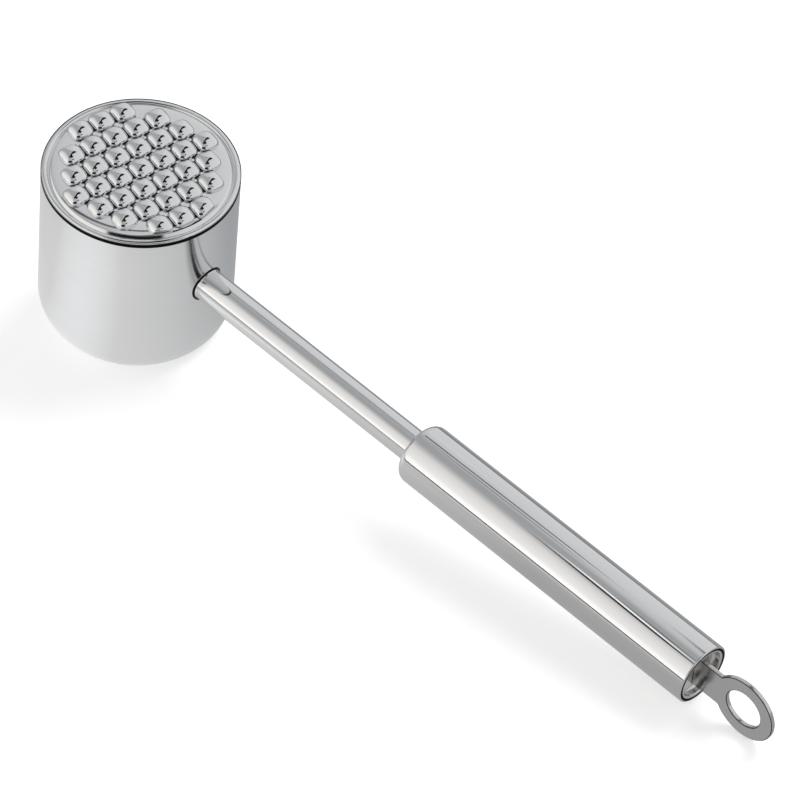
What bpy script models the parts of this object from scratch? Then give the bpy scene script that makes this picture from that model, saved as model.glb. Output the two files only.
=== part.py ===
"""Meat mallet: a round steel head with a toothed lid, on a tube handle with a hanging loop.

Metres, +Z up. The origin is the centre of the head's flat lower face. +Z runs up the head's axis
to the teeth, and +X runs along the handle from the head to the hanging loop.
"""

import math

import bmesh
import bpy
from mathutils import Matrix, Vector

# Clearance between pieces that touch on the real mallet
GAP = 0.0003

# Head: the cup
HEAD_RADIUS = 0.0290
SEAM_HEIGHT = 0.0556
CUP_WALL = 0.0012
MOUTH_CHAMFER = 0.0004
BASE_FILLET_WIDTH = 0.0055
BASE_FILLET_HEIGHT = 0.0088

# Head: the toothed lid, with heights measured from the seam
LID_THICKNESS = 0.0012
PLATE_HEIGHT = 0.0016
PLATE_RADIUS = 0.0259
BEAD_HEIGHT = 0.00125
BEAD_WIDTH = 0.0022
SKIRT_DEPTH = 0.0012

# Teeth: square rows across the lid
TOOTH_ROWS = (3, 5, 6, 7, 6, 5, 3)
TOOTH_PITCH = 0.00728
TOOTH_BASE = 0.0066
TOOTH_TOP = 0.0044
TOOTH_HEIGHT = 0.0024
TOOTH_SHEET = 0.0010
ROW_TURN = math.radians(-12.0)

# Head: the slug inside
CORE_RADIUS = 0.0160
CORE_CHAMFER = 0.0010

# Handle: along +X at this height
HANDLE_HEIGHT = 0.0316
NECK_RADIUS = 0.0050
NECK_WALL = 0.0010
NECK_START = -0.0075
GRIP_RADIUS = 0.0094
GRIP_WALL = 0.0009
GRIP_START = 0.1140
GRIP_END = 0.2231
GRIP_SHOULDER = 0.0030
GRIP_LIP = 0.0004
NECK_IN_GRIP = 0.0420

# Handle: the two rings that hold the neck in the grip, measured from the grip's front
BUSH_LENGTH = 0.0080
BUSH_CHAMFER = 0.0006
FRONT_BUSH_OFFSET = 0.0035
REAR_BUSH_OFFSET = 0.0320

# Handle: the dished cap, with depths measured from the grip's rear
CAP_WALL = 0.0011
CAP_DISH_DEPTH = 0.0026
CAP_SKIRT = 0.0075

# Handle: the hanging loop, a flat blank in the XZ plane
LOOP_CENTRE = 0.2386
LOOP_RADIUS = 0.0104
LOOP_HOLE_RADIUS = 0.0060
LOOP_THICKNESS = 0.0014
LOOP_EDGE = 0.0003
SHANK_HALF_WIDTH = 0.0058
SHANK_FILLET = 0.0010
SHANK_DEPTH = 0.0085

# Mesh resolution
HEAD_STEPS = 60
HANDLE_STEPS = 36
ARC_POINTS = 6
LOOP_ARC_POINTS = 28
HOLE_POINTS = 32
MERGE = 0.00001

QUARTER_TURN = math.pi / 2


def clear_scene():
    """Removes every object of the startup file."""
    for obj in list(bpy.data.objects):
        bpy.data.objects.remove(obj, do_unlink=True)


def new_collection(name):
    """A collection linked to the scene."""
    collection = bpy.data.collections.new(name)
    bpy.context.scene.collection.children.link(collection)
    return collection


def steel(name, colour, roughness, metallic=1.0):
    """A Principled BSDF material for one part."""
    material = bpy.data.materials.new(name)
    material.use_nodes = True
    shader = material.node_tree.nodes["Principled BSDF"]
    shader.inputs["Base Color"].default_value = (*colour, 1.0)
    shader.inputs["Roughness"].default_value = roughness
    shader.inputs["Metallic"].default_value = metallic
    return material


def add_object(name, mesh, collection, material=None):
    """An object for this mesh, in this collection."""
    obj = bpy.data.objects.new(name, mesh)
    collection.objects.link(obj)
    if material:
        mesh.materials.append(material)
    return obj


def as_cutter(obj):
    """Marks an object as a helper that is neither rendered nor built."""
    obj.hide_render = True
    obj.display_type = "WIRE"
    return obj


def arc(centre_r, centre_h, half_width, half_height, start, end, points=ARC_POINTS):
    """Points (radius, height) on an elliptical arc between two angles in degrees."""
    found = []
    for i in range(points + 1):
        angle = math.radians(start + (end - start) * i / points)
        found.append((centre_r + half_width * math.cos(angle), centre_h + half_height * math.sin(angle)))
    return found


def turned(name, profile, steps, collection, material, ring=False):
    """A turned piece: a (radius, height) profile with a Screw about local Z.

    The profile runs down its outer side. A ring's profile is closed and clear of the axis.
    """
    edges = [(i, i + 1) for i in range(len(profile) - 1)]
    if ring:
        edges.append((len(profile) - 1, 0))
    mesh = bpy.data.meshes.new(name)
    mesh.from_pydata([(radius, 0.0, height) for radius, height in profile], edges, [])
    obj = add_object(name, mesh, collection, material)
    screw = obj.modifiers.new("Turn", "SCREW")
    screw.axis = "Z"
    screw.angle = 2 * math.pi
    screw.steps = steps
    screw.render_steps = steps
    screw.use_merge_vertices = True
    screw.merge_threshold = MERGE
    screw.use_smooth_shade = True
    return obj


def lay_along_handle(obj, start):
    """Turns a piece's local Z to +X and sets its local origin on the handle axis at x = start."""
    obj.rotation_euler = (0.0, QUARTER_TURN, 0.0)
    obj.location = (start, 0.0, HANDLE_HEIGHT)


def boolean(obj, other, operation):
    """A Boolean modifier with the exact solver."""
    modifier = obj.modifiers.new(operation.title(), "BOOLEAN")
    modifier.operation = operation
    modifier.solver = "EXACT"
    modifier.object = other


def handle_rod(name, radius, start, end, collection):
    """A closed cylinder along the handle axis, used as a cutter."""
    mesh = bpy.data.meshes.new(name)
    shape = bmesh.new()
    bmesh.ops.create_cone(
        shape,
        cap_ends=True,
        segments=HANDLE_STEPS,
        radius1=radius,
        radius2=radius,
        depth=end - start,
        matrix=Matrix.Rotation(QUARTER_TURN, 4, "Y"),
    )
    shape.to_mesh(mesh)
    shape.free()
    obj = add_object(name, mesh, collection)
    obj.location = ((start + end) / 2, 0.0, HANDLE_HEIGHT)
    return as_cutter(obj)


def tooth_places():
    """The centre of each tooth on the lid, as (x, y).

    Every row is centred on the lid, so an even row sits half a pitch off an odd one.
    """
    turn = Matrix.Rotation(ROW_TURN, 2)
    middle_row = (len(TOOTH_ROWS) - 1) / 2
    places = []
    for row, count in enumerate(TOOTH_ROWS):
        for tooth in range(count):
            across = (tooth - (count - 1) / 2) * TOOTH_PITCH
            along = (row - middle_row) * TOOTH_PITCH
            places.append(turn @ Vector((along, across)))
    return places


def pyramids(name, base, top, bottom_height, height, collection):
    """One frustum at each tooth's place, as a single helper mesh."""
    mesh = bpy.data.meshes.new(name)
    shape = bmesh.new()
    square_to_corner = math.sqrt(0.5)
    for place in tooth_places():
        upright = Matrix.Translation((place.x, place.y, bottom_height + height / 2))
        turn = Matrix.Rotation(ROW_TURN + math.pi / 4, 4, "Z")
        bmesh.ops.create_cone(
            shape,
            cap_ends=True,
            segments=4,
            radius1=base * square_to_corner,
            radius2=top * square_to_corner,
            depth=height,
            matrix=upright @ turn,
        )
    shape.to_mesh(mesh)
    shape.free()
    return as_cutter(add_object(name, mesh, collection))


def plate_trim(collection):
    """A tall cylinder just inside the plate's edge, which trims the outermost teeth."""
    radius = PLATE_RADIUS - GAP / 2
    mesh = bpy.data.meshes.new("plate_trim")
    shape = bmesh.new()
    bmesh.ops.create_cone(
        shape,
        cap_ends=True,
        segments=HEAD_STEPS,
        radius1=radius,
        radius2=radius,
        depth=4 * TOOTH_HEIGHT,
        matrix=Matrix.Translation((0.0, 0.0, SEAM_HEIGHT + PLATE_HEIGHT)),
    )
    shape.to_mesh(mesh)
    shape.free()
    return as_cutter(add_object("plate_trim", mesh, collection))


def build_head_cup(parts, cutters, material):
    """Deep-drawn cup: flat striking face, large base radius, and a hole for the neck."""
    inner_radius = HEAD_RADIUS - CUP_WALL
    inner_width = BASE_FILLET_WIDTH - CUP_WALL
    inner_height = BASE_FILLET_HEIGHT - CUP_WALL
    fillet_radius = HEAD_RADIUS - BASE_FILLET_WIDTH
    profile = [(0.0, CUP_WALL)]
    profile += arc(fillet_radius, BASE_FILLET_HEIGHT, inner_width, inner_height, -90, 0)
    profile += [
        (inner_radius, SEAM_HEIGHT),
        (HEAD_RADIUS - MOUTH_CHAMFER, SEAM_HEIGHT),
        (HEAD_RADIUS, SEAM_HEIGHT - MOUTH_CHAMFER),
    ]
    profile += arc(fillet_radius, BASE_FILLET_HEIGHT, BASE_FILLET_WIDTH, BASE_FILLET_HEIGHT, 0, -90)
    profile.append((0.0, 0.0))
    cup = turned("head_cup", profile, HEAD_STEPS, parts, material)
    hole = handle_rod("neck_hole", NECK_RADIUS + GAP, CORE_RADIUS, HEAD_RADIUS * 1.2, cutters)
    boolean(cup, hole, "DIFFERENCE")


def build_toothed_lid(parts, cutters, material):
    """Pressed lid: raised plate with hollow teeth, groove, rim bead, and a skirt that fits in the cup."""
    plate_top = SEAM_HEIGHT + PLATE_HEIGHT
    plate_bottom = plate_top - LID_THICKNESS
    foot = SEAM_HEIGHT + GAP
    half_bead = BEAD_WIDTH / 2
    bead_rise = SEAM_HEIGHT + BEAD_HEIGHT - foot
    skirt_radius = HEAD_RADIUS - CUP_WALL - GAP
    skirt_bottom = SEAM_HEIGHT - SKIRT_DEPTH
    profile = [(0.0, plate_top), (PLATE_RADIUS, plate_top)]
    profile += arc(HEAD_RADIUS - half_bead, foot, half_bead, bead_rise, 170, 0)
    profile += [
        (skirt_radius, foot),
        (skirt_radius, skirt_bottom),
        (skirt_radius - LID_THICKNESS, skirt_bottom),
        (skirt_radius - LID_THICKNESS, plate_bottom),
        (0.0, plate_bottom),
    ]
    lid = turned("toothed_lid", profile, HEAD_STEPS, parts, material)
    sink = LID_THICKNESS / 3
    teeth = pyramids("teeth", TOOTH_BASE, TOOTH_TOP, plate_top - sink, TOOTH_HEIGHT + sink, cutters)
    boolean(teeth, plate_trim(cutters), "INTERSECT")
    boolean(lid, teeth, "UNION")
    pocket_height = LID_THICKNESS + TOOTH_HEIGHT - TOOTH_SHEET
    pockets = pyramids(
        "tooth_pockets",
        TOOTH_BASE - 2 * TOOTH_SHEET,
        TOOTH_TOP / 2,
        plate_bottom - sink,
        pocket_height + sink,
        cutters,
    )
    boolean(lid, pockets, "DIFFERENCE")


def build_weight_core(parts, cutters, material):
    """Solid slug that stands between both faces, with a blind cross bore for the neck."""
    bottom = CUP_WALL + GAP
    top = SEAM_HEIGHT + PLATE_HEIGHT - LID_THICKNESS - GAP
    flat_radius = CORE_RADIUS - CORE_CHAMFER
    profile = [
        (0.0, top),
        (flat_radius, top),
        (CORE_RADIUS, top - CORE_CHAMFER),
        (CORE_RADIUS, bottom + CORE_CHAMFER),
        (flat_radius, bottom),
        (0.0, bottom),
    ]
    core = turned("weight_core", profile, HANDLE_STEPS, parts, material)
    bore = handle_rod("core_bore", NECK_RADIUS + GAP, NECK_START - GAP, CORE_RADIUS * 1.5, cutters)
    boolean(core, bore, "DIFFERENCE")


def build_neck_tube(parts, material):
    """Thin tube from the core's bore to the rear bush."""
    length = GRIP_START + NECK_IN_GRIP - NECK_START
    inner = NECK_RADIUS - NECK_WALL
    profile = [(inner, length), (NECK_RADIUS, length), (NECK_RADIUS, 0.0), (inner, 0.0)]
    neck = turned("neck_tube", profile, HANDLE_STEPS, parts, material, ring=True)
    lay_along_handle(neck, NECK_START)


def build_grip_tube(parts, material):
    """Thick tube whose front is spun in over a rounded shoulder to meet the neck."""
    length = GRIP_END - GRIP_START
    inner = GRIP_RADIUS - GRIP_WALL
    neck_hole = NECK_RADIUS + GAP
    shoulder_radius = GRIP_RADIUS - GRIP_SHOULDER
    inner_shoulder = GRIP_SHOULDER - GRIP_WALL
    profile = [(inner, length)]
    profile += arc(GRIP_RADIUS - GRIP_LIP, length - GRIP_LIP, GRIP_LIP, GRIP_LIP, 90, 0, points=3)
    profile += arc(shoulder_radius, GRIP_SHOULDER, GRIP_SHOULDER, GRIP_SHOULDER, 0, -90)
    profile += [(neck_hole, 0.0), (neck_hole, GRIP_WALL)]
    profile += arc(shoulder_radius, GRIP_SHOULDER, inner_shoulder, inner_shoulder, -90, 0)
    grip = turned("grip_tube", profile, HANDLE_STEPS, parts, material, ring=True)
    lay_along_handle(grip, GRIP_START)


def build_bush(name, offset, parts, material):
    """Ring between the neck and the inside of the grip."""
    outer = GRIP_RADIUS - GRIP_WALL - GAP
    inner = NECK_RADIUS + GAP
    profile = [
        (inner, BUSH_LENGTH),
        (outer - BUSH_CHAMFER, BUSH_LENGTH),
        (outer, BUSH_LENGTH - BUSH_CHAMFER),
        (outer, BUSH_CHAMFER),
        (outer - BUSH_CHAMFER, 0.0),
        (inner, 0.0),
    ]
    bush = turned(name, profile, HANDLE_STEPS, parts, material, ring=True)
    lay_along_handle(bush, GRIP_START + offset)


def build_end_cap(parts, cutters, material):
    """Pressed cap with a rounded lip and a dished floor, slotted for the loop's shank."""
    outer = GRIP_RADIUS - GRIP_WALL - GAP
    half_lip = CAP_WALL / 2
    floor_corner = 2 * CAP_WALL
    dish_radius = outer - CAP_WALL
    underside = CAP_SKIRT - CAP_DISH_DEPTH - CAP_WALL
    floor = CAP_SKIRT - CAP_DISH_DEPTH
    profile = [(0.0, floor), (dish_radius - floor_corner, floor)]
    profile += arc(dish_radius - floor_corner, floor + CAP_WALL, floor_corner, CAP_WALL, -60, 0, points=3)
    profile += arc(outer - half_lip, CAP_SKIRT - half_lip, half_lip, half_lip, 180, 0)
    profile += [(outer, 0.0), (outer - CAP_WALL, 0.0), (outer - CAP_WALL, underside), (0.0, underside)]
    cap = turned("end_cap", profile, HANDLE_STEPS, parts, material)
    lay_along_handle(cap, GRIP_END - CAP_SKIRT)

    mesh = bpy.data.meshes.new("shank_slot")
    shape = bmesh.new()
    bmesh.ops.create_cube(shape, size=1.0)
    size = Vector((2 * CAP_SKIRT, LOOP_THICKNESS + 2 * GAP, 2 * (SHANK_HALF_WIDTH + GAP)))
    bmesh.ops.scale(shape, vec=size, verts=shape.verts)
    shape.to_mesh(mesh)
    shape.free()
    slot = as_cutter(add_object("shank_slot", mesh, cutters))
    slot.location = (GRIP_END, 0.0, HANDLE_HEIGHT)
    boolean(cap, slot, "DIFFERENCE")


def circle_points(centre_x, centre_y, radius, start, end, points):
    """Points on a circular arc, with the angles in radians."""
    found = []
    for i in range(points + 1):
        angle = start + (end - start) * i / points
        found.append((centre_x + radius * math.cos(angle), centre_y + radius * math.sin(angle)))
    return found


def loop_outline():
    """The blank's outline round its ring centre: shank, notch fillets and ring."""
    reach = LOOP_RADIUS + SHANK_FILLET
    fillet_y = SHANK_HALF_WIDTH + SHANK_FILLET
    fillet_x = -math.sqrt(reach**2 - fillet_y**2)
    notch_angle = math.atan2(fillet_y, fillet_x)
    root = GRIP_END - SHANK_DEPTH - LOOP_CENTRE
    upper = [(root, SHANK_HALF_WIDTH)]
    upper += circle_points(fillet_x, fillet_y, SHANK_FILLET, -QUARTER_TURN, notch_angle - math.pi, 3)
    ring = circle_points(0.0, 0.0, LOOP_RADIUS, notch_angle, -notch_angle, LOOP_ARC_POINTS)
    lower = [(x, -y) for x, y in reversed(upper)]
    return upper + ring[1:-1] + lower


def build_hanging_loop(parts, material):
    """Flat stamped eye whose shank goes through the end cap."""
    curve = bpy.data.curves.new("hanging_loop", "CURVE")
    curve.dimensions = "2D"
    curve.fill_mode = "BOTH"
    curve.extrude = LOOP_THICKNESS / 2
    hole = circle_points(0.0, 0.0, LOOP_HOLE_RADIUS, 0.0, 2 * math.pi, HOLE_POINTS)[:-1]
    for outline in (loop_outline(), hole):
        spline = curve.splines.new("POLY")
        spline.points.add(len(outline) - 1)
        for point, (x, y) in zip(spline.points, outline):
            point.co = (x, y, 0.0, 1.0)
        spline.use_cyclic_u = True
    curve.materials.append(material)
    loop = bpy.data.objects.new("hanging_loop", curve)
    parts.objects.link(loop)
    loop.rotation_euler = (QUARTER_TURN, 0.0, 0.0)
    loop.location = (LOOP_CENTRE, 0.0, HANDLE_HEIGHT)
    weld = loop.modifiers.new("Weld", "WELD")
    weld.merge_threshold = MERGE
    bevel = loop.modifiers.new("Edges", "BEVEL")
    bevel.width = LOOP_EDGE
    bevel.segments = 1
    bevel.limit_method = "ANGLE"
    bevel.angle_limit = math.radians(60)


def main():
    clear_scene()
    parts = new_collection("meat_mallet")
    cutters = new_collection("cutters")
    satin = steel("satin_head_steel", (0.66, 0.66, 0.68), 0.28)
    polished = steel("polished_lid_steel", (0.80, 0.80, 0.82), 0.10)
    tube = steel("polished_tube_steel", (0.74, 0.74, 0.75), 0.12)
    cap = steel("end_cap_steel", (0.64, 0.63, 0.62), 0.16)
    loop = steel("loop_steel", (0.60, 0.60, 0.61), 0.24)
    bush = steel("bush_steel", (0.50, 0.50, 0.52), 0.40)
    iron = steel("cast_core", (0.18, 0.18, 0.19), 0.60)
    build_head_cup(parts, cutters, satin)
    build_toothed_lid(parts, cutters, polished)
    build_weight_core(parts, cutters, iron)
    build_neck_tube(parts, tube)
    build_grip_tube(parts, tube)
    build_bush("front_bush", FRONT_BUSH_OFFSET, parts, bush)
    build_bush("rear_bush", REAR_BUSH_OFFSET, parts, bush)
    build_end_cap(parts, cutters, cap)
    build_hanging_loop(parts, loop)


main()
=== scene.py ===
import math

import bmesh
import bpy
from mathutils import Matrix, Vector
from mathutils.geometry import delaunay_2d_cdt


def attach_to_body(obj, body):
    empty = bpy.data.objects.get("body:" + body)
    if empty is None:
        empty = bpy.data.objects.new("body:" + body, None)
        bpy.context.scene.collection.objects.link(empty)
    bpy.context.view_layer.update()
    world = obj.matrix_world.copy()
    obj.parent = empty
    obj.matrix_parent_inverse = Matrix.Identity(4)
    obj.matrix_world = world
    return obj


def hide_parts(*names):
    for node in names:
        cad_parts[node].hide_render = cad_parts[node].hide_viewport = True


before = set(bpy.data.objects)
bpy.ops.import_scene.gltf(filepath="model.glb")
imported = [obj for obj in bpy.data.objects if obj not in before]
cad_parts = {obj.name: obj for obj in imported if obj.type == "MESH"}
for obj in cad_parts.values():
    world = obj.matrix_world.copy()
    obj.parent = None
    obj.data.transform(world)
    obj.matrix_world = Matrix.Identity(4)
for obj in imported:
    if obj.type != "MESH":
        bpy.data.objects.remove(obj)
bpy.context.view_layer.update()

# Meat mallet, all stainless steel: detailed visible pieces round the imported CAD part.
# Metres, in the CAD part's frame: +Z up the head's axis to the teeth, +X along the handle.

# ------------------------------------------------------------------ sizes, as in the CAD part
GAP = 0.0003
HEAD_RADIUS = 0.0290
SEAM_HEIGHT = 0.0556
CUP_WALL = 0.0012
BASE_FILLET_WIDTH = 0.0055
BASE_FILLET_HEIGHT = 0.0088
LID_THICKNESS = 0.0012
PLATE_HEIGHT = 0.0016
PLATE_RADIUS = 0.0259
BEAD_HEIGHT = 0.00125
BEAD_WIDTH = 0.0022
SKIRT_DEPTH = 0.0012
TOOTH_ROWS = (3, 5, 6, 7, 6, 5, 3)
TOOTH_PITCH = 0.00728
TOOTH_HEIGHT = 0.0024
ROW_TURN = math.radians(-12.0)
HANDLE_HEIGHT = 0.0316
NECK_RADIUS = 0.0050
NECK_WALL = 0.0010
NECK_START = -0.0075
NECK_END = 0.1560
GRIP_RADIUS = 0.0094
GRIP_WALL = 0.0009
GRIP_START = 0.1140
GRIP_END = 0.2231
GRIP_SHOULDER = 0.0030
GRIP_LIP = 0.0004
CAP_WALL = 0.0011
CAP_DISH_DEPTH = 0.0026
CAP_SKIRT = 0.0075
LOOP_CENTRE = 0.2386
LOOP_RADIUS = 0.0104
LOOP_HOLE_RADIUS = 0.0060
LOOP_THICKNESS = 0.0014
LOOP_EDGE = 0.00035
SHANK_HALF_WIDTH = 0.0058
SHANK_FILLET = 0.0010
SHANK_DEPTH = 0.0085

# ------------------------------------------------------------------ finer shapes than the CAD part's
HEAD_STEPS = 256
TUBE_STEPS = 144
SHARP_DEGREES = 35.0
MOUTH_ROUND = 0.0005
MOUTH_MARGIN = 0.00015
WALL_ROWS = 20
DOUBLED = 1e-6
WELD_FILLET = 0.0007
WELD_ROWS = 8
WELD_SUNK = 0.0010
NECK_ROWS = 24
TOOTH_HALF = 0.00357
TOOTH_SQUARENESS = 3.2
TOOTH_STEPS = 56
TOOTH_WALL_ANGLES = (0, 4, 9, 15, 22, 30, 38, 46, 54)
TOOTH_TOP_SPANS = (0.46, 0.34, 0.22, 0.11)
CROWN_START = 0.0226
CROWN_DROP = 0.00021
PLATE_LIMIT = PLATE_RADIUS - 0.0001
PLATE_RINGS = (0.0236, 0.0241, 0.0246, 0.0251, 0.0255, PLATE_RADIUS)
PLATE_CLEARANCE = 1.04
RIM_ROUND = 0.00030
SKIRT_ROUND = 0.00020
FINE_ROUND = 0.00010

# ------------------------------------------------------------------ painted shade in the joints and in the teeth's valleys
# VALLEY_PROBE, VALLEY_LIMIT and PLATE_CLEARANCE are spans of a tooth: 1 is its foot.
PAINTED_SHADE_TONE = 0.012
PAINTED_SHADE_ROUGHNESS = 0.4
VALLEY_PAINTED_SHADE = 0.62
VALLEY_TOP = 0.0007
VALLEY_FADE = 0.0005
VALLEY_PROBE = 1.02
VALLEY_LIMIT = 1.18
SEAM_SHADE_BAND = 0.00045
GRIP_SHADE_BAND = 0.0004
LOOP_PAINTED_SHADE = 0.85

# ------------------------------------------------------------------ pose on the floor, and camera
# The mallet rests on the edge of its round base and on its loop, so the floor is tipped to the frame.
TILT = math.radians(5.653)
HANDLE_AZIMUTH = math.radians(-44.14)
CAMERA_PITCH = math.radians(45.14)
CAMERA_LENS = 222.12
SENSOR = 36.0
CAMERA_AIM = Vector((0.09776, 0.00963, 0.03160))
CAMERA_DISTANCE = 1.4080
CLIP_START, CLIP_END = 0.1, 20.0

# ------------------------------------------------------------------ studio
FLOOR_SIZE = 6.0
FLOOR_WHITE = 0.95
FLOOR_GLOW = 0.41
TABLE_MIDDLE = 0.66
TABLE_MIDDLE_FROM, TABLE_MIDDLE_TO = 0.010, 0.027
TABLE_NEAR, TABLE_FAR, TABLE_FAR_STRENGTH = 0.07, 0.16, 0.66
KEY_SIZE = 1.2
KEY_POWER = 12.0
KEY_DISTANCE = 1.8
KEY_AZIMUTH, KEY_ELEVATION = 50, 52
KEY_TARGET = Vector((0.1, 0.0, 0.02))


def room_axes():
    """The room's right, away and up directions, as vectors in the part's frame."""
    handle = Vector((math.cos(HANDLE_AZIMUTH), math.sin(HANDLE_AZIMUTH), 0.0))
    up = Vector((0.0, 0.0, 1.0))
    along = handle * math.cos(TILT) - up * math.sin(TILT)
    head_axis = up * math.cos(TILT) + handle * math.sin(TILT)
    sideways = head_axis.cross(along)
    turn = Matrix((along, sideways, head_axis))
    return [turn @ Vector(axis) for axis in ((1, 0, 0), (0, 1, 0), (0, 0, 1))]


ROOM_RIGHT, ROOM_AWAY, ROOM_UP = room_axes()


def room_direction(azimuth, elevation):
    """A direction in the part's frame. Azimuth is 0 away from the camera and 90 to the right."""
    a, e = math.radians(azimuth), math.radians(elevation)
    level = ROOM_RIGHT * math.sin(a) + ROOM_AWAY * math.cos(a)
    return level * math.cos(e) + ROOM_UP * math.sin(e)


# ------------------------------------------------------------------ meshes
def face_outwards(mesh):
    """Turns every face's normal outwards."""
    shape = bmesh.new()
    shape.from_mesh(mesh)
    bmesh.ops.recalc_face_normals(shape, faces=shape.faces)
    shape.to_mesh(mesh)
    shape.free()


def merge_doubles(mesh):
    """Merges points that lie on top of each other."""
    shape = bmesh.new()
    shape.from_mesh(mesh)
    bmesh.ops.remove_doubles(shape, verts=shape.verts, dist=DOUBLED)
    shape.to_mesh(mesh)
    shape.free()


def shade(mesh, sharp_degrees=SHARP_DEGREES):
    """Smooth shading that keeps creases sharper than this angle."""
    mesh.shade_smooth()
    mesh.set_sharp_from_angle(angle=math.radians(sharp_degrees))


def make_object(name, verts, faces, material, sharp_degrees=SHARP_DEGREES):
    """A smooth-shaded mesh object with outward normals and sharp creases kept."""
    mesh = bpy.data.meshes.new(name)
    mesh.from_pydata([tuple(v) for v in verts], [], faces)
    face_outwards(mesh)
    shade(mesh, sharp_degrees)
    mesh.materials.append(material)
    obj = bpy.data.objects.new(name, mesh)
    bpy.context.scene.collection.objects.link(obj)
    return obj


def attach(obj, nodes):
    """Rides the piece on the part's one body, in place of these CAD nodes."""
    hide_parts(*nodes)
    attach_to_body(obj, "root")


def add_painted_shade(obj, amount):
    """Stores how dark the painted shade is at each point, from amount(x, y, z)."""
    mesh = obj.data
    layer = mesh.attributes.new("painted_shade", "FLOAT", "POINT")
    for vertex, value in zip(mesh.vertices, layer.data):
        value.value = amount(*vertex.co)


def rounded(corners, closed=False, step_degrees=9.0):
    """A polyline whose corners (x, y, radius) are rounded with short arcs."""
    points = []
    count = len(corners)
    for i, (x, y, radius) in enumerate(corners):
        here = Vector((x, y))
        if radius <= 0 or (not closed and i in (0, count - 1)):
            points.append((x, y))
            continue
        before = Vector(corners[i - 1][:2]) - here
        after = Vector(corners[(i + 1) % count][:2]) - here
        before.normalize()
        after.normalize()
        angle = before.angle(after)
        reach = radius / math.tan(angle / 2)
        start = here + before * reach
        centre = here + (before + after).normalized() * (radius / math.sin(angle / 2))
        swept = math.pi - angle
        steps = max(2, round(math.degrees(swept) / step_degrees))
        spoke = start - centre
        side = 1.0 if before.x * after.y - before.y * after.x < 0 else -1.0
        for k in range(steps + 1):
            turned = Matrix.Rotation(side * swept * k / steps, 2) @ spoke
            points.append(tuple(centre + turned))
    return points


def arc(centre_x, centre_y, half_width, half_height, start, end, points):
    """Points on an elliptical arc between two angles in degrees."""
    found = []
    for i in range(points + 1):
        angle = math.radians(start + (end - start) * i / points)
        found.append((centre_x + half_width * math.cos(angle), centre_y + half_height * math.sin(angle)))
    return found


def lathe(profile, steps, place, closed=False):
    """Turns a (radius, height) profile. place(radius, angle, height) gives the point."""
    verts, rings = [], []
    for radius, height in profile:
        if radius < 1e-7:
            rings.append([len(verts)] * steps)
            verts.append(place(0.0, 0.0, height))
            continue
        rings.append(list(range(len(verts), len(verts) + steps)))
        verts += [place(radius, 2 * math.pi * k / steps, height) for k in range(steps)]
    faces = []
    pairs = list(zip(rings, rings[1:]))
    if closed:
        pairs.append((rings[-1], rings[0]))
    for lower, upper in pairs:
        for k in range(steps):
            n = (k + 1) % steps
            face = [lower[k], lower[n], upper[n], upper[k]]
            faces.append([v for i, v in enumerate(face) if v not in face[:i]])
    return verts, faces


def about_head(radius, angle, height):
    """A point at this radius round the head's axis."""
    return (radius * math.cos(angle), radius * math.sin(angle), height)


def about_handle(radius, angle, along):
    """A point at this radius round the handle's axis."""
    return (along, radius * math.cos(angle), HANDLE_HEIGHT + radius * math.sin(angle))


def cut(obj, verts, faces):
    """Subtracts a closed shape from the object's mesh."""
    mesh = bpy.data.meshes.new("cutter")
    mesh.from_pydata(verts, [], faces)
    face_outwards(mesh)
    cutter = bpy.data.objects.new("cutter", mesh)
    bpy.context.scene.collection.objects.link(cutter)
    modifier = obj.modifiers.new("Cut", "BOOLEAN")
    modifier.operation = "DIFFERENCE"
    modifier.solver = "EXACT"
    modifier.object = cutter
    graph = bpy.context.evaluated_depsgraph_get()
    result = bpy.data.meshes.new_from_object(obj.evaluated_get(graph))
    obj.modifiers.clear()
    obj.data = result
    bpy.data.objects.remove(cutter, do_unlink=True)


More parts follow.
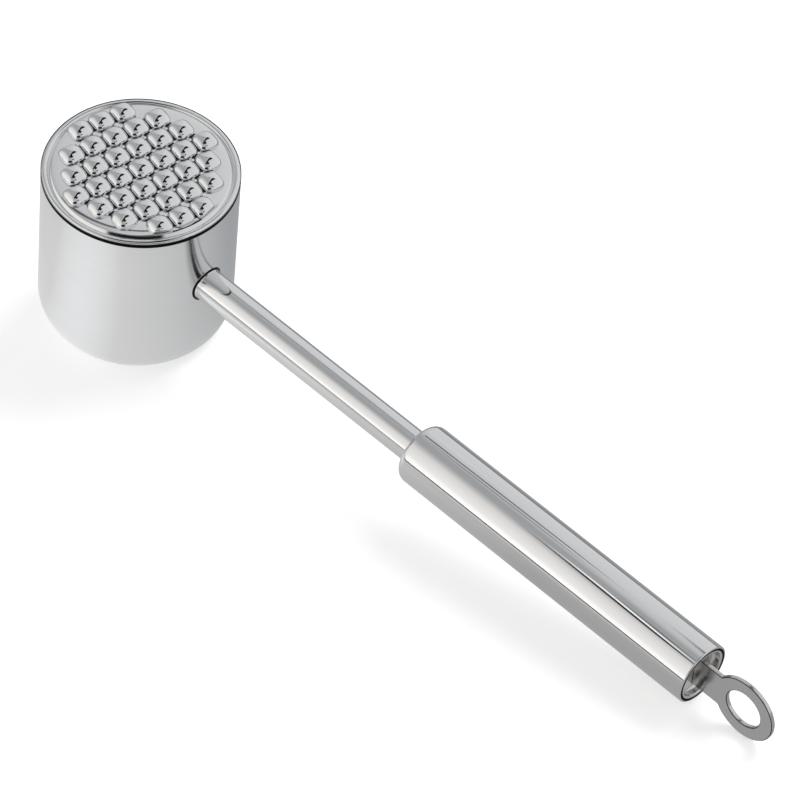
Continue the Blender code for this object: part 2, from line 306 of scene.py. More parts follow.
# ------------------------------------------------------------------ materials
class Nodes:
    """Small helper that adds and links shader nodes in one tree."""

    def __init__(self, tree):
        self.tree = tree
        tree.nodes.clear()

    def add(self, kind, **settings):
        node = self.tree.nodes.new(kind)
        for key, value in settings.items():
            setattr(node, key, value)
        return node

    def link(self, source, target):
        self.tree.links.new(source, target)

    def feed(self, target, value):
        """Links a socket to the target, or sets the target's own number or colour."""
        if isinstance(value, bpy.types.NodeSocket):
            self.link(value, target)
        else:
            target.default_value = value

    def math(self, operation, a, b=0.0):
        node = self.add("ShaderNodeMath", operation=operation)
        self.feed(node.inputs[0], a)
        self.feed(node.inputs[1], b)
        return node.outputs[0]

    def dot(self, vector, axis):
        node = self.add("ShaderNodeVectorMath", operation="DOT_PRODUCT")
        self.link(vector, node.inputs[0])
        node.inputs[1].default_value = axis
        return node.outputs["Value"]

    def scaled(self, vector, scale):
        node = self.add("ShaderNodeVectorMath", operation="MULTIPLY")
        self.link(vector, node.inputs[0])
        node.inputs[1].default_value = scale
        return node.outputs[0]

    def smooth(self, value, low, high):
        """Maps low..high to 0..1 along a smooth step."""
        node = self.add("ShaderNodeMapRange", interpolation_type="SMOOTHSTEP", clamp=True)
        self.feed(node.inputs[0], value)
        for socket, number in zip(node.inputs[1:5], (low, high, 0.0, 1.0)):
            socket.default_value = number
        return node.outputs[0]

    def linear(self, value, low, high, out_low, out_high):
        """Maps low..high to out_low..out_high along a straight line."""
        node = self.add("ShaderNodeMapRange", clamp=True)
        self.feed(node.inputs[0], value)
        for socket, number in zip(node.inputs[1:5], (low, high, out_low, out_high)):
            socket.default_value = number
        return node.outputs[0]

    def mix(self, factor, a, b):
        node = self.add("ShaderNodeMix", data_type="RGBA")
        self.feed(node.inputs[0], factor)
        self.feed(node.inputs[6], a)
        self.feed(node.inputs[7], b)
        return node.outputs[2]

    def noise(self, vector, scale, detail=2.0, roughness=0.5):
        node = self.add("ShaderNodeTexNoise")
        self.link(vector, node.inputs["Vector"])
        node.inputs["Scale"].default_value = scale
        node.inputs["Detail"].default_value = detail
        node.inputs["Roughness"].default_value = roughness
        return node.outputs["Fac"]


def set_stops(ramp, stops):
    """Gives a new colour ramp these (position, colour) stops."""
    for k, (position, colour) in enumerate(stops):
        stop = ramp.elements[k] if k < 2 else ramp.elements.new(position)
        stop.position = position
        stop.color = colour


def grey(value, tint=0.0):
    """A grey with a slight tint: positive is bluish, negative is warm."""
    return (value * (1 - tint), value, value * (1 + tint), 1.0)


def steel(name, tone, roughness, grain, grain_depth, spread, wave_depth=0.0, tint=0.0):
    """Procedural bare metal.

    grain is the noise frequency per metre along each axis: a low number draws the polishing lines
    out along that axis. grain_depth is the depth of those lines, and wave_depth of the faint
    unevenness that forming and polishing leave, in metres. spread is how far roughness varies.
    A point attribute on the mesh marks the joints and valleys that are painted dark as shade.
    """
    patch_size, wave_size = 55.0, 110.0
    darker, lighter = tone * 0.94, tone * 1.05
    material = bpy.data.materials.new(name)
    material.use_nodes = True
    n = Nodes(material.node_tree)
    place = n.add("ShaderNodeTexCoord").outputs["Object"]
    lines = n.noise(n.scaled(place, grain), 1.0, 3.0, 0.6)
    patches = n.noise(place, patch_size, 3.0, 0.55)
    # painted shade: where the attribute is high, the steel is mixed towards near black and made rougher
    painted_shade = n.smooth(n.add("ShaderNodeAttribute", attribute_name="painted_shade").outputs["Fac"], 0.15, 0.75)
    shader = n.add("ShaderNodeBsdfPrincipled")
    shader.inputs["Metallic"].default_value = 1.0
    tone_mask = n.math("ADD", n.math("MULTIPLY", lines, 0.5), n.math("MULTIPLY", patches, 0.5))
    clean = n.mix(tone_mask, grey(darker, tint), grey(lighter, tint))
    n.link(n.mix(painted_shade, clean, grey(PAINTED_SHADE_TONE)), shader.inputs["Base Color"])
    rough = n.math("ADD", n.math("MULTIPLY", patches, spread), roughness - spread / 2)
    painted_shade_rough = n.math("MULTIPLY", painted_shade, PAINTED_SHADE_ROUGHNESS)
    n.link(n.math("ADD", rough, painted_shade_rough), shader.inputs["Roughness"])
    bump = n.add("ShaderNodeBump")
    bump.inputs["Strength"].default_value = 1.0
    bump.inputs["Distance"].default_value = grain_depth
    n.link(lines, bump.inputs["Height"])
    if wave_depth:
        wave = n.add("ShaderNodeBump")
        wave.inputs["Distance"].default_value = wave_depth
        n.link(n.noise(place, wave_size, 1.0), wave.inputs["Height"])
        n.link(wave.outputs[0], bump.inputs["Normal"])
    n.link(bump.outputs[0], shader.inputs["Normal"])
    n.link(shader.outputs[0], n.add("ShaderNodeOutputMaterial").inputs["Surface"])
    return material


# ------------------------------------------------------------------ the head
def build_cup(material):
    """Deep-drawn cup with an elliptical base edge, a rounded mouth and the neck's hole."""
    inner = HEAD_RADIUS - CUP_WALL
    flat = HEAD_RADIUS - BASE_FILLET_WIDTH
    inner_width, inner_height = BASE_FILLET_WIDTH - CUP_WALL, BASE_FILLET_HEIGHT - CUP_WALL
    profile = [(0.0, CUP_WALL), (flat / 2, CUP_WALL)]
    profile += arc(flat, BASE_FILLET_HEIGHT, inner_width, inner_height, -90, 0, 12)
    profile += rounded(
        [
            (inner, BASE_FILLET_HEIGHT, 0),
            (inner, SEAM_HEIGHT, MOUTH_ROUND / 2),
            (HEAD_RADIUS, SEAM_HEIGHT, MOUTH_ROUND),
            (HEAD_RADIUS, BASE_FILLET_HEIGHT, 0),
        ]
    )[1:-1]
    top = SEAM_HEIGHT - MOUTH_ROUND - MOUTH_MARGIN
    profile.append((HEAD_RADIUS, top))
    for k in range(1, WALL_ROWS):
        profile.append((HEAD_RADIUS, top + (BASE_FILLET_HEIGHT - top) * k / WALL_ROWS))
    profile += arc(flat, BASE_FILLET_HEIGHT, BASE_FILLET_WIDTH, BASE_FILLET_HEIGHT, 0, -90, 28)
    profile += [(flat * 0.66, 0.0), (flat * 0.33, 0.0), (0.0, 0.0)]
    cup = make_object("head_shell", *lathe(profile, HEAD_STEPS, about_head), material)
    reach = NECK_RADIUS + GAP
    near, far = HEAD_RADIUS * 0.7, HEAD_RADIUS * 1.3
    ends = [(0.0, near), (reach, near), (reach, far), (0.0, far)]
    cut(cup, *lathe(ends, TUBE_STEPS // 2, about_handle))
    # the hole's top and bottom fall on the wall's own edges, which leaves doubled points
    merge_doubles(cup.data)
    shade(cup.data)
    # painted shade along the seam's gap, on the mouth's outer rounding
    seam_dark = SEAM_HEIGHT - MOUTH_ROUND * 1.05
    outside = inner + FINE_ROUND
    add_painted_shade(cup, lambda x, y, z: 1.0 if z > seam_dark and math.hypot(x, y) > outside else 0.0)
    attach(cup, ["head_cup"])


def tooth_centres():
    """The teeth's centres along and across the rows."""
    middle_row = (len(TOOTH_ROWS) - 1) / 2
    centres = []
    for row, count in enumerate(TOOTH_ROWS):
        for tooth in range(count):
            centres.append(((row - middle_row) * TOOTH_PITCH, (tooth - (count - 1) / 2) * TOOTH_PITCH))
    return centres


def tooth_spans(along, across, centres):
    """How far out this place is on each nearby tooth: 0 at a tooth's middle and 1 at its foot."""
    spans = []
    for u0, v0 in centres:
        u, v = abs(along - u0), abs(across - v0)
        if u < TOOTH_PITCH and v < TOOTH_PITCH:
            n = TOOTH_SQUARENESS
            spans.append((u**n + v**n) ** (1 / n) / TOOTH_HALF)
    return sorted(spans)


def encloses(outline, point):
    """Whether this point lies inside a closed flat outline."""
    inside = False
    for a, b in zip(outline, outline[1:] + outline[:1]):
        if (a.y > point.y) != (b.y > point.y):
            if point.x < a.x + (b.x - a.x) * (point.y - a.y) / (b.y - a.y):
                inside = not inside
    return inside


def plate_height(reach):
    """Height of the lid's plate above the seam: flat, then slightly crowned towards its edge."""
    outer = max(reach - CROWN_START, 0.0) / (PLATE_RADIUS - CROWN_START)
    return PLATE_HEIGHT - CROWN_DROP * outer**2


class LidMesh:
    """The lid's points, faces and painted shade, as they are added."""

    def __init__(self):
        self.verts, self.faces, self.painted_shade = [], [], []

    def add(self, point, dark=0.0):
        """Adds a point and returns its number."""
        self.verts.append(point)
        self.painted_shade.append(dark)
        return len(self.verts) - 1

    def join(self, lower, upper):
        """Fills the band between two rings with equally many points."""
        for k in range(len(lower)):
            n = (k + 1) % len(lower)
            self.faces.append([lower[k], lower[n], upper[n], upper[k]])

    def fan(self, ring, middle):
        """Fills a ring with triangles round a middle point."""
        for k in range(len(ring)):
            self.faces.append([ring[k], ring[(k + 1) % len(ring)], middle])

    def flat(self, v):
        """Where point v is as seen from above."""
        return Vector(self.verts[v][:2])


def tooth_point(along, across, rise):
    """A point at this rise above the plate, kept inside the plate's edge."""
    reach = math.hypot(along, across)
    if reach > PLATE_LIMIT:
        along, across = along * PLATE_LIMIT / reach, across * PLATE_LIMIT / reach
    flat = Matrix.Rotation(ROW_TURN, 2) @ Vector((along, across))
    return (flat.x, flat.y, SEAM_HEIGHT + plate_height(flat.length) + rise)


def add_teeth(lid, centres):
    """Adds every tooth, from its rounded square foot up to a dome. Returns the foot rings."""
    spans = [math.sin(math.radians(90 - angle)) for angle in TOOTH_WALL_ANGLES]
    spans += TOOTH_TOP_SPANS
    feet = []
    for u0, v0 in centres:
        rings = []
        for span in spans:
            rise = TOOTH_HEIGHT * math.sqrt(max(1.0 - span * span, 0.0))
            # painted shade low on each tooth, where it faces a neighbour across a valley
            dark = VALLEY_PAINTED_SHADE * min(max((VALLEY_TOP - rise) / VALLEY_FADE, 0.0), 1.0)
            ring = []
            for k in range(TOOTH_STEPS):
                angle = 2 * math.pi * (k + 0.5) / TOOTH_STEPS
                c, s = math.cos(angle), math.sin(angle)
                size = (abs(c) ** TOOTH_SQUARENESS + abs(s) ** TOOTH_SQUARENESS) ** (-1 / TOOTH_SQUARENESS)
                u, v = TOOTH_HALF * span * size * c, TOOTH_HALF * span * size * s
                foot_share = max(span, 0.5)
                probe_u, probe_v = u * VALLEY_PROBE / foot_share, v * VALLEY_PROBE / foot_share
                around = tooth_spans(u0 + probe_u, v0 + probe_v, centres)
                in_valley = len(around) > 1 and around[1] < VALLEY_LIMIT
                ring.append(lid.add(tooth_point(u0 + u, v0 + v, rise), dark if in_valley else 0.0))
            rings.append(ring)
        for lower, upper in zip(rings, rings[1:]):
            lid.join(lower, upper)
        lid.fan(rings[-1], lid.add(tooth_point(u0, v0, TOOTH_HEIGHT)))
        feet.append(rings[0])
    return feet


def add_plate(lid, feet, centres, angles):
    """Adds the plate between the teeth. Returns the ring of points at its edge."""
    turn = Matrix.Rotation(ROW_TURN, 2)
    plate = [v for ring in feet for v in ring]
    border = []
    for reach in PLATE_RINGS:
        for angle in angles:
            along, across = reach * math.cos(angle - ROW_TURN), reach * math.sin(angle - ROW_TURN)
            around = tooth_spans(along, across, centres)
            if reach < PLATE_RADIUS and around and around[0] < PLATE_CLEARANCE:
                continue
            flat = turn @ Vector((along, across))
            plate.append(lid.add((flat.x, flat.y, SEAM_HEIGHT + plate_height(reach))))
            if reach == PLATE_RADIUS:
                border.append(plate[-1])
    local = {v: i for i, v in enumerate(plate)}
    edges = [(local[ring[k - 1]], local[ring[k]]) for ring in feet for k in range(TOOTH_STEPS)]
    edges += [(local[border[k - 1]], local[border[k]]) for k in range(HEAD_STEPS)]
    flat_points = [lid.flat(v) for v in plate]
    points, _, triangles, sources, _, _ = delaunay_2d_cdt(flat_points, edges, [], 1, 1e-9)
    outlines = [[lid.flat(v) for v in ring] for ring in feet]
    for triangle in triangles:
        corners = [sources[v][0] for v in triangle]
        middle = sum((points[v] for v in triangle), Vector((0.0, 0.0))) / 3
        # only a foot ring's own points fill its inside
        owners = {corner // TOOTH_STEPS for corner in corners}
        tooth = min(owners)
        if len(owners) > 1 or tooth >= len(feet) or not encloses(outlines[tooth], middle):
            lid.faces.append([plate[corner] for corner in corners])
    return border


def rim_profile():
    """The lid's (radius, height above the seam) from the plate's edge round to its underside."""
    half_bead = BEAD_WIDTH / 2
    bead_centre = HEAD_RADIUS - half_bead
    skirt_radius = HEAD_RADIUS - CUP_WALL - GAP
    inner_skirt = skirt_radius - LID_THICKNESS
    plate_bottom = PLATE_HEIGHT - LID_THICKNESS
    edge_height = plate_height(PLATE_RADIUS)
    bead = arc(bead_centre, GAP, half_bead, BEAD_HEIGHT - GAP, 168, 0, 22)
    groove = rounded(
        [
            (PLATE_RADIUS - 0.0006, edge_height, 0),
            (PLATE_RADIUS + 0.0001, edge_height, RIM_ROUND),
            (bead[0][0], bead[0][1], 0.00012),
            (bead[2][0], bead[2][1], 0),
        ]
    )[1:-1]
    profile = [point for point in groove if point[0] > PLATE_RADIUS] + bead[3:-1]
    profile += rounded(
        [
            (HEAD_RADIUS, GAP + 0.0007, 0),
            (HEAD_RADIUS, GAP, 0.00040),
            (skirt_radius, GAP, FINE_ROUND),
            (skirt_radius, -SKIRT_DEPTH, SKIRT_ROUND),
            (inner_skirt, -SKIRT_DEPTH, SKIRT_ROUND),
            (inner_skirt, plate_bottom, SKIRT_ROUND),
            (inner_skirt / 2, plate_bottom, 0),
        ]
    )
    return profile


def build_lid(material):
    """Pressed lid: a raised plate with rounded square teeth, a groove, a rim bead and a skirt."""
    lid = LidMesh()
    centres = tooth_centres()
    angles = [2 * math.pi * k / HEAD_STEPS for k in range(HEAD_STEPS)]
    feet = add_teeth(lid, centres)
    rings = [add_plate(lid, feet, centres, angles)]
    skirt_radius = HEAD_RADIUS - CUP_WALL - GAP
    for radius, height in rim_profile():
        # painted shade on the rim's outer underside, along the seam's gap
        dark = 1.0 if height < GAP + SEAM_SHADE_BAND and radius > skirt_radius else 0.0
        rings.append([lid.add(about_head(radius, angle, SEAM_HEIGHT + height), dark) for angle in angles])
    for lower, upper in zip(rings, rings[1:]):
        lid.join(lower, upper)
    lid.fan(rings[-1], lid.add((0.0, 0.0, SEAM_HEIGHT + PLATE_HEIGHT - LID_THICKNESS)))
    face = make_object("toothed_face", lid.verts, lid.faces, material, sharp_degrees=50.0)
    layer = face.data.attributes.new("painted_shade", "FLOAT", "POINT")
    layer.data.foreach_set("value", lid.painted_shade)
    attach(face, ["toothed_lid"])


# ------------------------------------------------------------------ the handle
def build_neck(material):
    """Neck tube with a fine weld fillet where it leaves the head's round wall."""
    inner = NECK_RADIUS - NECK_WALL
    verts, rings = [], []

    def ring(radius, along):
        """along(radius, angle) gives each point's place along the handle's axis."""
        rings.append(list(range(len(verts), len(verts) + TUBE_STEPS)))
        for k in range(TUBE_STEPS):
            angle = 2 * math.pi * k / TUBE_STEPS
            verts.append(about_handle(radius, angle, along(radius, angle)))

    def on_wall(radius, angle):
        """Where the head's wall is, along the handle's axis."""
        return math.sqrt(HEAD_RADIUS**2 - (radius * math.cos(angle)) ** 2)

    ring(inner, lambda r, a: NECK_START)
    ring(NECK_RADIUS, lambda r, a: NECK_START)
    ring(NECK_RADIUS, lambda r, a: on_wall(r, a) - WELD_SUNK)
    ring(NECK_RADIUS + WELD_FILLET, lambda r, a: on_wall(r, a) - GAP)
    for row in range(WELD_ROWS + 1):
        angle = math.pi / 2 * row / WELD_ROWS
        out = WELD_FILLET * (1 - math.cos(angle))
        radius = NECK_RADIUS + WELD_FILLET * (1 - math.sin(angle))
        ring(radius, lambda r, a, out=out: on_wall(r, a) + out)
    straight = HEAD_RADIUS + 2 * WELD_FILLET
    places = [straight + (NECK_END - straight) * row / NECK_ROWS for row in range(NECK_ROWS + 1)]
    places += [GRIP_START + step for step in (-0.0005, -0.0003, 0.0003, 0.0005)]
    for place in sorted(places):
        ring(NECK_RADIUS, lambda r, a, place=place: place)
    ring(inner, lambda r, a: NECK_END)
    faces = []
    for lower, upper in zip(rings, rings[1:] + rings[:1]):
        for k in range(TUBE_STEPS):
            n = (k + 1) % TUBE_STEPS
            faces.append([lower[k], lower[n], upper[n], upper[k]])
    neck = make_object("neck", verts, faces, material)

    def dark(x, y, z):
        """Painted shade at the weld, and where the neck enters the grip."""
        at_weld = math.hypot(x, y) - HEAD_RADIUS < WELD_FILLET * 0.5
        at_grip = abs(x - GRIP_START) < GRIP_SHADE_BAND
        return 1.0 if at_weld or at_grip else 0.0

    add_painted_shade(neck, dark)
    attach(neck, ["neck_tube"])


def build_grip(material):
    """Grip tube with a spun front shoulder and a rounded rear edge."""
    inner = GRIP_RADIUS - GRIP_WALL
    hole = NECK_RADIUS + GAP / 3
    start, end = GRIP_START, GRIP_END
    profile = rounded(
        [
            (inner, end, GRIP_LIP),
            (GRIP_RADIUS, end, GRIP_LIP),
            (GRIP_RADIUS, (start + end) / 2, 0),
            (GRIP_RADIUS, start, GRIP_SHOULDER),
            (hole, start, 0.00015),
            (hole, start + GRIP_WALL, 0),
            (inner, start + GRIP_WALL, GRIP_SHOULDER - GRIP_WALL),
        ],
        closed=True,
        step_degrees=6.0,
    )
    grip = make_object("grip", *lathe(profile, TUBE_STEPS, about_handle, closed=True), material)
    rear_joint = GRIP_RADIUS - GRIP_LIP * 1.3

    def dark(x, y, z):
        """Painted shade inside the rear edge, round the end cap."""
        return 1.0 if x > end - 0.001 and math.hypot(y, z - HANDLE_HEIGHT) < rear_joint else 0.0

    add_painted_shade(grip, dark)
    attach(grip, ["grip_tube"])


def build_end_cap(material):
    """Dished end cap with a rolled lip. The loop's shank passes through its slot."""
    outer = GRIP_RADIUS - GRIP_WALL - GAP / 3
    top = GRIP_END
    floor = top - CAP_DISH_DEPTH
    bottom = top - CAP_SKIRT
    profile = rounded(
        [
            (0.0, floor, 0),
            (outer - CAP_WALL, floor, 0.0012),
            (outer - CAP_WALL, top, CAP_WALL / 2.05),
            (outer, top, CAP_WALL / 2.05),
            (outer, bottom, FINE_ROUND),
            (outer - CAP_WALL, bottom, FINE_ROUND),
            (outer - CAP_WALL, floor - CAP_WALL, 0.0008),
            (0.0, floor - CAP_WALL, 0),
        ]
    )
    cap = make_object("grip_end", *lathe(profile, TUBE_STEPS, about_handle), material)
    half_thick = LOOP_THICKNESS / 2 + GAP / 2
    half_wide = SHANK_HALF_WIDTH + GAP / 2
    corners = []
    for x in (floor - 2 * CAP_WALL, top + CAP_WALL):
        for y, z in ((-1, -1), (1, -1), (1, 1), (-1, 1)):
            corners.append((x, y * half_thick, HANDLE_HEIGHT + z * half_wide))
    sides = [[0, 1, 2, 3], [4, 5, 6, 7]] + [[k, (k + 1) % 4, (k + 1) % 4 + 4, k + 4] for k in range(4)]
    cut(cap, corners, sides)
    shade(cap.data)
    # painted shade round the cap's rim, where it meets the grip
    cap_joint = outer - CAP_WALL * 0.3
    add_painted_shade(cap, lambda x, y, z: 1.0 if math.hypot(y, z - HANDLE_HEIGHT) > cap_joint else 0.0)
    attach(cap, ["end_cap"])


def build_loop(material):
    """Stamped eye: shank, notch fillets and ring, with rounded edges."""
    reach = LOOP_RADIUS + SHANK_FILLET
    fillet_y = SHANK_HALF_WIDTH + SHANK_FILLET
    fillet_x = -math.sqrt(reach**2 - fillet_y**2)
    notch = math.degrees(math.atan2(fillet_y, fillet_x))
    root = GRIP_END - SHANK_DEPTH - LOOP_CENTRE
    upper = [(root, SHANK_HALF_WIDTH)]
    upper += arc(fillet_x, fillet_y, SHANK_FILLET, SHANK_FILLET, -90, notch - 180, 8)
    ring_points = arc(0.0, 0.0, LOOP_RADIUS, LOOP_RADIUS, notch, -notch, 96)
    outline = upper + ring_points[1:-1] + [(x, -y) for x, y in reversed(upper)]
    hole = arc(0.0, 0.0, LOOP_HOLE_RADIUS, LOOP_HOLE_RADIUS, 0, 360, 96)[:-1]
    curve = bpy.data.curves.new("loop_outline", "CURVE")
    curve.dimensions = "2D"
    curve.fill_mode = "BOTH"
    curve.extrude = LOOP_THICKNESS / 2 - LOOP_EDGE
    curve.bevel_depth = LOOP_EDGE
    curve.bevel_resolution = 3
    curve.offset = -LOOP_EDGE
    for path in (outline, hole):
        spline = curve.splines.new("POLY")
        spline.points.add(len(path) - 1)
        for point, (x, y) in zip(spline.points, path):
            point.co = (x, y, 0.0, 1.0)
        spline.use_cyclic_u = True
    flat = bpy.data.objects.new("loop_outline", curve)
    bpy.context.scene.collection.objects.link(flat)
    weld = flat.modifiers.new("Weld", "WELD")
    weld.merge_threshold = DOUBLED
    graph = bpy.context.evaluated_depsgraph_get()
    mesh = bpy.data.meshes.new_from_object(flat.evaluated_get(graph))
    bpy.data.objects.remove(flat, do_unlink=True)
    upright = Matrix.Translation((LOOP_CENTRE, 0.0, HANDLE_HEIGHT)) @ Matrix.Rotation(math.pi / 2, 4, "X")
    mesh.transform(upright)
    mesh.materials.clear()
    mesh.materials.append(material)
    shade(mesh, sharp_degrees=40.0)
    loop = bpy.data.objects.new("loop", mesh)
    bpy.context.scene.collection.objects.link(loop)
    # painted shade along the rounding of both edges, short of the flat faces
    side = LOOP_THICKNESS / 2
    add_painted_shade(loop, lambda x, y, z: LOOP_PAINTED_SHADE if 0.78 * side < abs(y) < 0.98 * side else 0.0)
    attach(loop, ["hanging_loop"])


# ------------------------------------------------------------------ studio
def build_floor():
    """Pale floor under the resting mallet, seen only from above.

    In the steel it shows as a table with painted light and shade: it glows brightest on the left and
    darkest behind on the right.
    """
    material = bpy.data.materials.new("pale_floor")
    material.use_nodes = True
    n = Nodes(material.node_tree)
    bright = n.add("ShaderNodeBsdfDiffuse")
    bright.inputs["Color"].default_value = grey(FLOOR_WHITE)
    glow = n.add("ShaderNodeEmission")
    glow.inputs["Color"].default_value = grey(1.0)
    glow.inputs["Strength"].default_value = FLOOR_GLOW
    pale = n.add("ShaderNodeAddShader")
    n.link(bright.outputs[0], pale.inputs[0])
    n.link(glow.outputs[0], pale.inputs[1])
    lowest = min(point.dot(ROOM_UP) for point in contact_points())
    centre = ROOM_UP * lowest
    from_head = n.add("ShaderNodeVectorMath", operation="SUBTRACT")
    n.link(n.add("ShaderNodeNewGeometry").outputs["Position"], from_head.inputs[0])
    from_head.inputs[1].default_value = centre
    heading = n.add("ShaderNodeVectorMath", operation="NORMALIZE")
    n.link(from_head.outputs[0], heading.inputs[0])
    distance = n.add("ShaderNodeVectorMath", operation="LENGTH")
    n.link(from_head.outputs[0], distance.inputs[0])
    # painted light and shade on the table as the steel sees it: a glow by heading from the head, weaker
    # far away
    left = n.dot(heading.outputs[0], room_direction(-130, 0))
    painted_light = n.add("ShaderNodeValToRGB")
    n.link(n.linear(left, -1.0, 1.0, 0.0, 1.0), painted_light.inputs[0])
    stops = (
        (0.00, grey(0.42, 0.04)),
        (0.30, grey(0.61, 0.0)),
        (0.55, grey(0.71, 0.0)),
        (0.90, grey(0.82, -0.01)),
        (1.00, grey(1.02, 0.0)),
    )
    set_stops(painted_light.color_ramp, stops)
    far = n.linear(distance.outputs["Value"], TABLE_NEAR, TABLE_FAR, 1.0, TABLE_FAR_STRENGTH)
    painted_table = n.add("ShaderNodeEmission")
    # a plain middle under the head, where a heading means nothing
    beside = n.smooth(distance.outputs["Value"], TABLE_MIDDLE_FROM, TABLE_MIDDLE_TO)
    n.link(n.mix(beside, grey(TABLE_MIDDLE), painted_light.outputs[0]), painted_table.inputs["Color"])
    n.link(far, painted_table.inputs["Strength"])
    seen = n.add("ShaderNodeMixShader")
    n.link(n.add("ShaderNodeLightPath").outputs["Is Camera Ray"], seen.inputs[0])
    n.link(painted_table.outputs[0], seen.inputs[1])
    n.link(pale.outputs[0], seen.inputs[2])
    one_sided = n.add("ShaderNodeMixShader")
    n.link(n.add("ShaderNodeNewGeometry").outputs["Backfacing"], one_sided.inputs[0])
    n.link(seen.outputs[0], one_sided.inputs[1])
    n.link(n.add("ShaderNodeBsdfTransparent").outputs[0], one_sided.inputs[2])
    n.link(one_sided.outputs[0], n.add("ShaderNodeOutputMaterial").inputs["Surface"])
    corners = []
    for right, away in ((-1, -1), (1, -1), (1, 1), (-1, 1)):
        corners.append(centre + (ROOM_RIGHT * right + ROOM_AWAY * away) * FLOOR_SIZE / 2)
    mesh = bpy.data.meshes.new("floor")
    mesh.from_pydata([tuple(c) for c in corners], [], [(0, 1, 2, 3)])
    mesh.materials.append(material)
    floor = bpy.data.objects.new("floor", mesh)
    bpy.context.scene.collection.objects.link(floor)


def contact_points():
    """Points of the head's base edge and of the loop's rim, in the plane of the handle."""
    flat = HEAD_RADIUS - BASE_FILLET_WIDTH
    base = arc(flat, BASE_FILLET_HEIGHT, BASE_FILLET_WIDTH, BASE_FILLET_HEIGHT, -90, 0, 90)
    rim = arc(LOOP_CENTRE, HANDLE_HEIGHT, LOOP_RADIUS, LOOP_RADIUS, -120, -60, 60)
    return [Vector((x, 0.0, z)) for x, z in base + rim]


def build_world():
    """Soft studio surroundings as seen in the steel: a bright side, grey ceiling and dark gaps."""
    world = bpy.data.worlds.new("studio")
    bpy.context.scene.world = world
    world.use_nodes = True
    n = Nodes(world.node_tree)
    heading = n.add("ShaderNodeTexCoord").outputs["Generated"]
    left = n.dot(heading, room_direction(-111, 1))
    ramp = n.add("ShaderNodeValToRGB")
    n.link(n.linear(left, -1.0, 1.0, 0.0, 1.0), ramp.inputs[0])
    stops = (
        (0.00, grey(0.85, 0.01)),
        (0.30, grey(0.76, 0.01)),
        (0.44, grey(0.66, 0.02)),
        (0.54, grey(0.44, 0.02)),
        (0.66, grey(0.46, 0.01)),
        (0.74, grey(0.66, -0.01)),
        (0.80, grey(0.86, -0.02)),
        (0.96, grey(1.06, -0.03)),
        (1.00, grey(1.38, -0.02)),
    )
    set_stops(ramp.color_ramp, stops)
    colour = ramp.outputs[0]

    edge_on, square_on = 0.05, 0.10

    def panel(colour, azimuth, elevation, roll, half_size, value, softness):
        """Mixes in a flat panel seen in this direction.

        half_size and softness are (along, across) pairs, in tangents of angles.
        """
        centre = room_direction(azimuth, elevation)
        level = ROOM_UP.cross(centre).normalized()
        above = centre.cross(level)
        turn = math.radians(roll)
        long_axis = level * math.cos(turn) + above * math.sin(turn)
        wide_axis = above * math.cos(turn) - level * math.sin(turn)
        facing = n.dot(heading, centre)
        safe = n.math("MAXIMUM", facing, edge_on)
        p = n.math("ABSOLUTE", n.math("DIVIDE", n.dot(heading, long_axis), safe))
        q = n.math("ABSOLUTE", n.math("DIVIDE", n.dot(heading, wide_axis), safe))
        inside = n.math(
            "MULTIPLY",
            n.smooth(p, half_size[0] + softness[0], half_size[0] - softness[0]),
            n.smooth(q, half_size[1] + softness[1], half_size[1] - softness[1]),
        )
        inside = n.math("MULTIPLY", inside, n.smooth(facing, edge_on, square_on))
        return n.mix(inside, colour, value)

    # azimuth, elevation, roll, half size, colour, softness, with the angles in degrees
    panels = (
        # above the mallet and beyond it: light and dark, along the top of the neck and the grip's front
        (-2.0, 59.5, 0, (0.060, 0.050), grey(0.58), (0.02, 0.02)),
        (-7.0, 65.5, 165, (0.050, 0.018), grey(0.20), (0.02, 0.012)),
        (14.0, 37.0, 90, (0.120, 0.040), grey(0.80), (0.03, 0.015)),
        (-2.0, 58.5, 0, (0.140, 0.020), grey(0.040), (0.02, 0.010)),
        # overhead: the dark mark on each tooth
        (32.0, 68.0, 90, (0.230, 0.120), grey(0.010), (0.03, 0.02)),
        (90.0, 86.0, 0, (0.170, 0.170), grey(0.010), (0.03, 0.03)),
        (120.0, 77.0, 90, (0.220, 0.150), grey(0.010), (0.03, 0.02)),
        (-140.0, 82.0, 90, (0.160, 0.120), grey(0.010), (0.03, 0.02)),
        # high on the left: dark and bright lines along the rear of the grip
        (-99.0, 65.5, 154, (0.080, 0.028), grey(0.02), (0.02, 0.008)),
        (-91.0, 69.6, 160, (0.070, 0.016), grey(1.40), (0.02, 0.008)),
        (-83.0, 73.6, 165, (0.040, 0.018), grey(0.18), (0.02, 0.010)),
        # low on the left: a dark line along the lower side of the neck and grip
        (-111.0, 1.9, 0, (0.420, 0.032), grey(0.01), (0.10, 0.008)),
        # to the right on the camera's side, and behind the camera: small dark reflections on the head
        (134.0, 45.0, 0, (0.130, 0.090), grey(0.015), (0.04, 0.04)),
        (180.0, 31.0, 0, (0.480, 0.240), grey(0.015, 0.10), (0.06, 0.03)),
    )
    for placing in panels:
        colour = panel(colour, *placing)
    reflected = n.add("ShaderNodeBackground")
    n.link(colour, reflected.inputs["Color"])
    plain = n.add("ShaderNodeBackground")
    plain.inputs["Color"].default_value = grey(1.0)
    mixed = n.add("ShaderNodeMixShader")
    n.link(n.add("ShaderNodeLightPath").outputs["Is Camera Ray"], mixed.inputs[0])
    n.link(reflected.outputs[0], mixed.inputs[1])
    n.link(plain.outputs[0], mixed.inputs[2])
    n.link(mixed.outputs[0], n.add("ShaderNodeOutputWorld").inputs["Surface"])


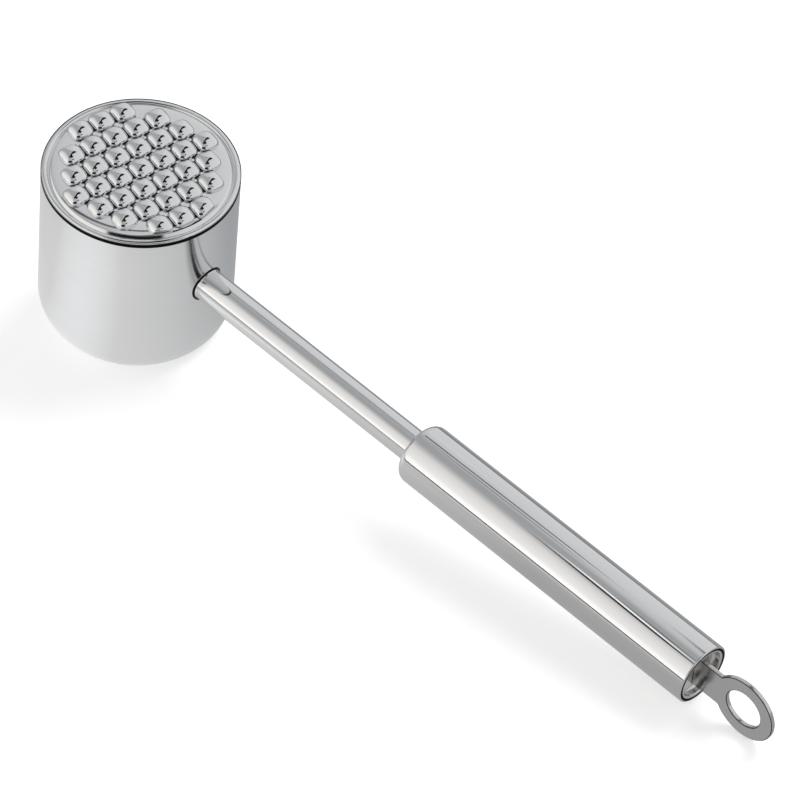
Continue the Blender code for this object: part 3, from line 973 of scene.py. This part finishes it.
def build_key_light():
    """A broad soft light from above right, which gives the faint shadow to the lower left."""
    data = bpy.data.lights.new("key", "AREA")
    data.shape = "DISK"
    data.size = KEY_SIZE
    data.energy = KEY_POWER
    light = bpy.data.objects.new("key", data)
    bpy.context.scene.collection.objects.link(light)
    towards = room_direction(KEY_AZIMUTH, KEY_ELEVATION)
    light.location = KEY_TARGET + towards * KEY_DISTANCE
    light.rotation_mode = "QUATERNION"
    light.rotation_quaternion = towards.to_track_quat("Z", "Y")
    light.visible_glossy = False


def build_camera():
    """Long lens, looking down across the mallet at CAMERA_PITCH."""
    data = bpy.data.cameras.new("camera")
    data.lens = CAMERA_LENS
    data.sensor_width = SENSOR
    data.clip_start, data.clip_end = CLIP_START, CLIP_END
    camera = bpy.data.objects.new("camera", data)
    bpy.context.scene.collection.objects.link(camera)
    right = ROOM_RIGHT
    back = ROOM_UP * math.sin(CAMERA_PITCH) - ROOM_AWAY * math.cos(CAMERA_PITCH)
    up = back.cross(right)
    turn = Matrix((right, up, back)).transposed().to_4x4()
    camera.matrix_world = Matrix.Translation(CAMERA_AIM + back * CAMERA_DISTANCE) @ turn
    bpy.context.scene.camera = camera


def main():
    satin = steel(
        "satin_head_steel", tone=0.74, roughness=0.15, grain=(50.0, 50.0, 1500.0),
        grain_depth=4e-7, spread=0.05, tint=0.01,
    )
    lid = steel(
        "polished_lid_steel", tone=0.78, roughness=0.065, grain=(700.0, 700.0, 700.0),
        grain_depth=4e-7, spread=0.04, wave_depth=2e-6, tint=0.01,
    )
    tube = steel(
        "polished_tube_steel", tone=0.75, roughness=0.055, grain=(40.0, 1600.0, 1600.0),
        grain_depth=4e-7, spread=0.03, tint=0.005,
    )
    cap = steel(
        "end_cap_steel", tone=0.66, roughness=0.10, grain=(900.0, 900.0, 900.0),
        grain_depth=8e-7, spread=0.05, tint=-0.02,
    )
    loop = steel(
        "loop_steel", tone=0.66, roughness=0.22, grain=(300.0, 900.0, 300.0),
        grain_depth=2e-6, spread=0.08, wave_depth=3e-6,
    )
    bush = steel(
        "bush_steel", tone=0.50, roughness=0.40, grain=(300.0, 900.0, 900.0),
        grain_depth=3e-6, spread=0.08,
    )
    iron = steel(
        "cast_core_iron", tone=0.20, roughness=0.62, grain=(800.0, 800.0, 800.0),
        grain_depth=3e-5, spread=0.15, wave_depth=5e-5,
    )
    build_cup(satin)
    build_lid(lid)
    build_neck(tube)
    build_grip(tube)
    build_end_cap(cap)
    build_loop(loop)
    for node, material in (("weight_core", iron), ("front_bush", bush), ("rear_bush", bush)):
        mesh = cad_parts[node].data
        mesh.materials.clear()
        mesh.materials.append(material)
    build_floor()
    build_world()
    build_key_light()
    build_camera()
    bpy.context.scene.view_settings.view_transform = "Standard"
    bpy.context.view_layer.update()


main()
